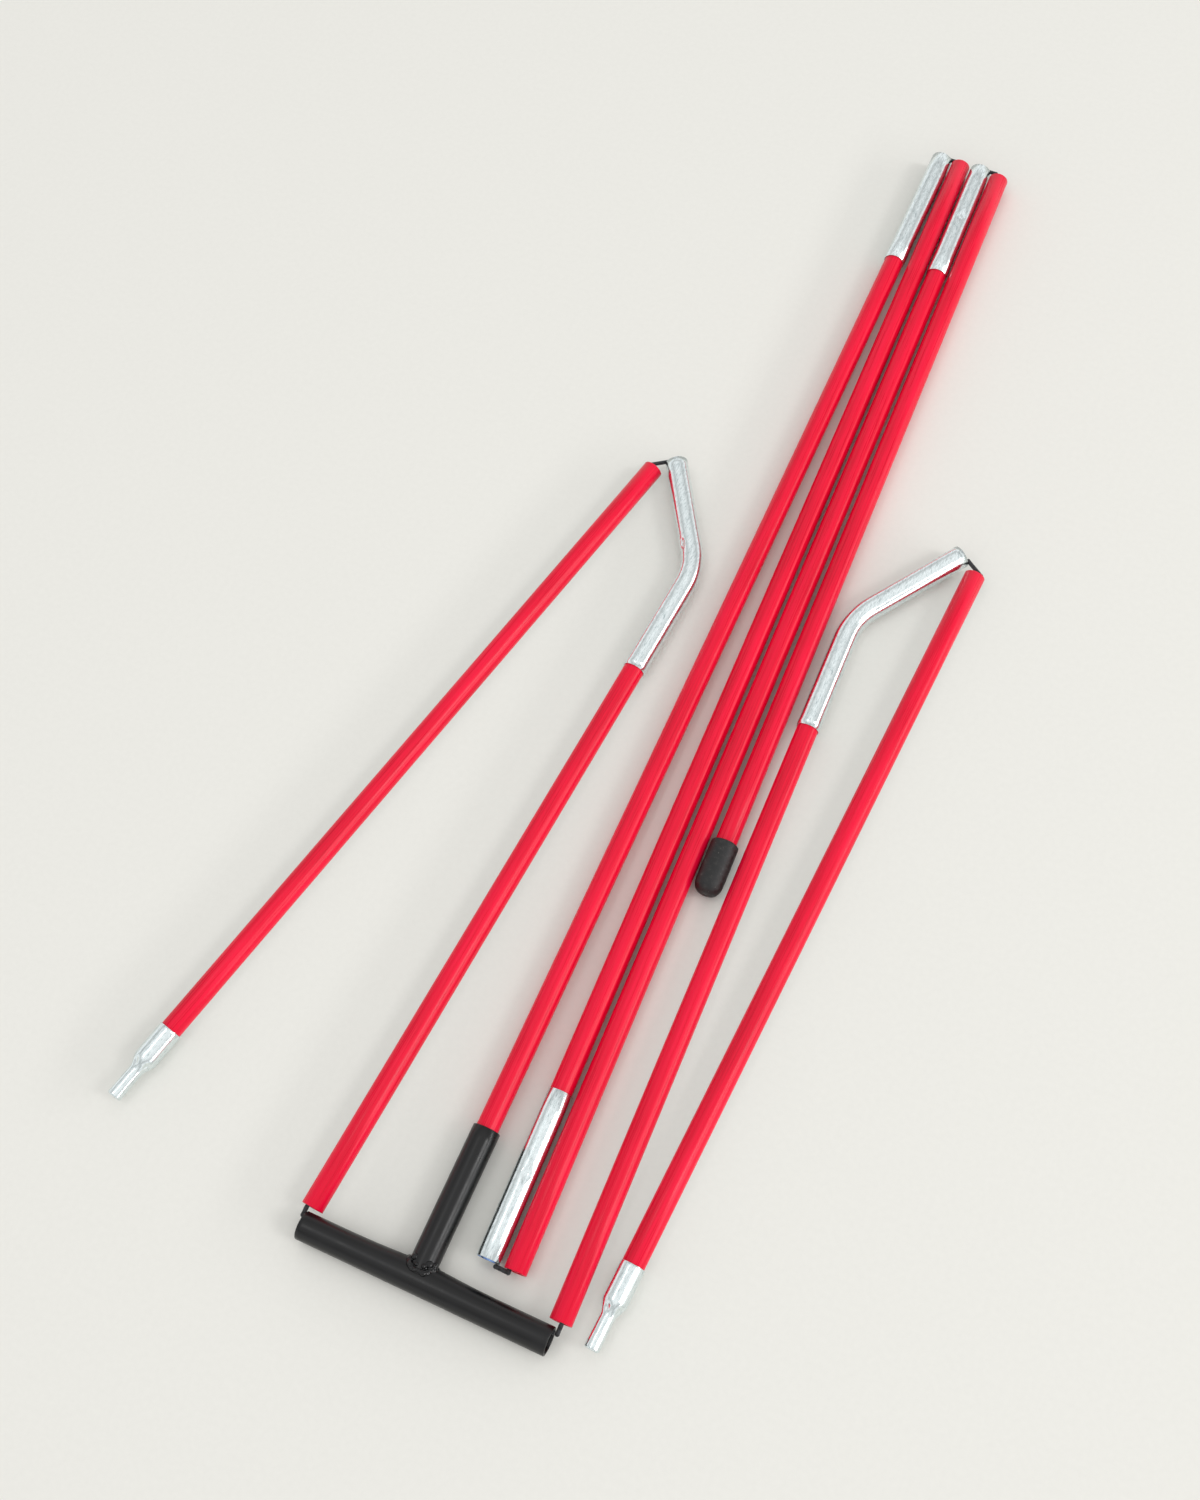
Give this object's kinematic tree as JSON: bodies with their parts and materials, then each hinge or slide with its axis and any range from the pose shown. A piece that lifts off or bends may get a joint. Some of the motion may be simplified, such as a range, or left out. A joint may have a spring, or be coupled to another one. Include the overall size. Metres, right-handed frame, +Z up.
{
  "type": "sectional pole frame",
  "caption": "Shock-corded frame of hollow pole sections with ferrules, elbows, leg tips and a welded tee, folded for carrying.",
  "frame": {"origin": "on the surface that the folded frame lies on, below the middle of its bounding box", "axes": "+Y along the tee's stem, from the tee towards the ridge sections; +X along the tee's cross tube towards its right mouth; +Z up from the surface"},
  "size_m": [0.3394, 0.8206, 0.0187],
  "materials": {
    "red_grp_tube": "satin pultruded glass-fibre tube",
    "zinc_plated_steel": "bright zinc plate",
    "black_paint_steel": "semi-gloss black paint",
    "black_rubber": "worn matt",
    "elastic_cord": "woven sheath",
    "washer_steel": "plain"
  },
  "bodies": {
    "tee": {"tee_fitting": "black_paint_steel", "tee_weld": "black_paint_steel", "cord_tee": "elastic_cord"},
    "ridge_1": {"ridge_tube_1": "red_grp_tube", "ferrule_1": "zinc_plated_steel", "cord_ridge_1": "elastic_cord", "knot_ridge_start": "elastic_cord", "washer_ridge_start": "washer_steel"},
    "ridge_2": {"ridge_tube_2": "red_grp_tube", "ferrule_2": "zinc_plated_steel", "cord_ridge_2": "elastic_cord"},
    "ridge_3": {"ridge_tube_3": "red_grp_tube", "ferrule_3": "zinc_plated_steel", "cord_ridge_3": "elastic_cord"},
    "ridge_4": {"ridge_tube_4": "red_grp_tube", "end_cap": "black_rubber", "cord_ridge_4": "elastic_cord", "knot_cap": "elastic_cord", "washer_cap": "washer_steel"},
    "arm_left": {"arm_tube_left": "red_grp_tube", "elbow_left": "zinc_plated_steel", "cord_arm_left": "elastic_cord", "cord_elbow_left": "elastic_cord"},
    "arm_right": {"arm_tube_right": "red_grp_tube", "elbow_right": "zinc_plated_steel", "cord_arm_right": "elastic_cord", "cord_elbow_right": "elastic_cord"},
    "leg_left": {"leg_tube_left": "red_grp_tube", "leg_tip_left": "zinc_plated_steel", "cord_leg_left": "elastic_cord", "knot_leg_left": "elastic_cord", "washer_leg_left": "washer_steel"},
    "leg_right": {"leg_tube_right": "red_grp_tube", "leg_tip_right": "zinc_plated_steel", "cord_leg_right": "elastic_cord", "knot_leg_right": "elastic_cord", "washer_leg_right": "washer_steel"},
    "cord_lead_2_body": {"cord_lead_2": "elastic_cord"},
    "cord_turn_2_body": {"cord_turn_2": "elastic_cord"},
    "cord_lead_3_body": {"cord_lead_3": "elastic_cord"},
    "cord_turn_3_body": {"cord_turn_3": "elastic_cord"},
    "cord_lead_4_body": {"cord_lead_4": "elastic_cord"},
    "cord_turn_4_body": {"cord_turn_4": "elastic_cord"},
    "cord_lead_arm_left_body": {"cord_lead_arm_left": "elastic_cord"},
    "cord_turn_arm_left_body": {"cord_turn_arm_left": "elastic_cord"},
    "cord_lead_leg_left_body": {"cord_lead_leg_left": "elastic_cord"},
    "cord_turn_leg_left_body": {"cord_turn_leg_left": "elastic_cord"},
    "cord_lead_arm_right_body": {"cord_lead_arm_right": "elastic_cord"},
    "cord_turn_arm_right_body": {"cord_turn_arm_right": "elastic_cord"},
    "cord_lead_leg_right_body": {"cord_lead_leg_right": "elastic_cord"},
    "cord_turn_leg_right_body": {"cord_turn_leg_right": "elastic_cord"}
  },
  "joints": [
    {"name": "stem_socket_push", "type": "slide", "parent": "tee", "child": "ridge_1", "axis": [0, -1, 0], "range_m": [-0.064, 0]},
    {"name": "ridge_2_unfold", "type": "hinge", "parent": "ridge_1", "child": "cord_lead_2_body", "pos_m": [0.04151, 0.40882, 0.0084], "axis": [-0.9999, -0.0106, 0], "range_deg": [0, 180], "deforming": ["cord_lead_2", "cord_turn_2"]},
    {"name": "ridge_2_push", "type": "slide", "parent": "cord_lead_2_body", "child": "cord_turn_2_body", "axis": [-0.0213, 0.9998, 0], "range_m": [0, 0.0488]},
    {"name": "ridge_2_swing", "type": "hinge", "parent": "cord_turn_2_body", "child": "ridge_2", "pos_m": [0.04151, 0.40882, 0.0084], "axis": [0.0213, -0.9998, 0], "range_deg": [0, 180]},
    {"name": "ridge_3_unfold", "type": "hinge", "parent": "ridge_2", "child": "cord_lead_3_body", "pos_m": [0.07312, -0.38952, 0.0084], "axis": [0.0222, -0.9998, 0], "range_deg": [0, 180], "deforming": ["cord_lead_3", "cord_turn_3"]},
    {"name": "ridge_3_push", "type": "slide", "parent": "cord_lead_3_body", "child": "cord_turn_3_body", "axis": [-0.023, 0.9997, 0], "range_m": [0, 0.0663]},
    {"name": "ridge_3_swing", "type": "hinge", "parent": "cord_turn_3_body", "child": "ridge_3", "pos_m": [0.07312, -0.38952, 0.0084], "axis": [0.9997, 0.023, 0], "range_deg": [0, 180]},
    {"name": "ridge_4_unfold", "type": "hinge", "parent": "ridge_3", "child": "cord_lead_4_body", "pos_m": [0.06941, 0.40662, 0.0084], "axis": [-0.9997, -0.023, 0], "range_deg": [0, 180], "deforming": ["cord_lead_4", "cord_turn_4"]},
    {"name": "ridge_4_push", "type": "slide", "parent": "cord_lead_4_body", "child": "cord_turn_4_body", "axis": [-0.023, 0.9997, 0], "range_m": [0, 0.0488]},
    {"name": "ridge_4_swing", "type": "hinge", "parent": "cord_turn_4_body", "child": "ridge_4", "pos_m": [0.06941, 0.40662, 0.0084], "axis": [0.0249, -0.9997, 0], "range_deg": [0, 180]},
    {"name": "arm_left_unfold", "type": "hinge", "parent": "tee", "child": "cord_lead_arm_left_body", "pos_m": [-0.03178, -0.39983, 0.0084], "axis": [0, -1, 0], "range_deg": [0, 180], "deforming": ["cord_lead_arm_left", "cord_turn_arm_left"]},
    {"name": "arm_left_push", "type": "slide", "parent": "cord_lead_arm_left_body", "child": "cord_turn_arm_left_body", "axis": [-1, 0, 0], "range_m": [0, 0.0645]},
    {"name": "arm_left_swing", "type": "hinge", "parent": "cord_turn_arm_left_body", "child": "arm_left", "pos_m": [-0.03178, -0.39983, 0.0084], "axis": [0.7357, 0.6773, 0], "range_deg": [0, 180]},
    {"name": "leg_left_unfold", "type": "hinge", "parent": "arm_left", "child": "cord_lead_leg_left_body", "pos_m": [-0.04288, 0.10873, 0.0084], "axis": [-0.4904, -0.8715, 0], "range_deg": [0, 180], "deforming": ["cord_lead_leg_left", "cord_turn_leg_left"]},
    {"name": "leg_left_push", "type": "slide", "parent": "cord_lead_leg_left_body", "child": "cord_turn_leg_left_body", "axis": [-1, 0, 0], "range_m": [0, 0.0677]},
    {"name": "leg_left_swing", "type": "hinge", "parent": "cord_turn_leg_left_body", "child": "leg_left", "pos_m": [-0.04288, 0.10873, 0.0084], "axis": [-0.6205, 0.7842, 0], "range_deg": [0, 180]},
    {"name": "arm_right_unfold", "type": "hinge", "parent": "tee", "child": "cord_lead_arm_right_body", "pos_m": [0.10935, -0.39871, 0.0084], "axis": [0, 1, 0], "range_deg": [0, 180], "deforming": ["cord_lead_arm_right", "cord_turn_arm_right"]},
    {"name": "arm_right_push", "type": "slide", "parent": "cord_lead_arm_right_body", "child": "cord_turn_arm_right_body", "axis": [1, 0, 0], "range_m": [0, 0.0645]},
    {"name": "arm_right_swing", "type": "hinge", "parent": "cord_turn_arm_right_body", "child": "arm_right", "pos_m": [0.10935, -0.39871, 0.0084], "axis": [0.7128, -0.7014, 0], "range_deg": [0, 180]},
    {"name": "leg_right_unfold", "type": "hinge", "parent": "arm_right", "child": "cord_lead_leg_right_body", "pos_m": [0.15666, 0.10805, 0.0084], "axis": [-0.4611, 0.8873, 0], "range_deg": [0, 180], "deforming": ["cord_lead_leg_right", "cord_turn_leg_right"]},
    {"name": "leg_right_push", "type": "slide", "parent": "cord_lead_leg_right_body", "child": "cord_turn_leg_right_body", "axis": [1, 0, 0], "range_m": [0, 0.0677]},
    {"name": "leg_right_swing", "type": "hinge", "parent": "cord_turn_leg_right_body", "child": "leg_right", "pos_m": [0.15666, 0.10805, 0.0084], "axis": [-0.7284, -0.6852, 0], "range_deg": [0, 180]}
  ],
  "couplings": [
    {"joint": "ridge_2_swing", "follows": "ridge_2_unfold", "ratio": 1},
    {"joint": "ridge_3_unfold", "follows": "ridge_2_unfold", "ratio": 1},
    {"joint": "ridge_3_swing", "follows": "ridge_2_unfold", "ratio": 1},
    {"joint": "ridge_4_swing", "follows": "ridge_4_unfold", "ratio": 1},
    {"joint": "arm_left_swing", "follows": "arm_left_unfold", "ratio": 1},
    {"joint": "leg_left_swing", "follows": "leg_left_unfold", "ratio": 1},
    {"joint": "arm_right_swing", "follows": "arm_right_unfold", "ratio": 1},
    {"joint": "leg_right_swing", "follows": "leg_right_unfold", "ratio": 1}
  ]
}
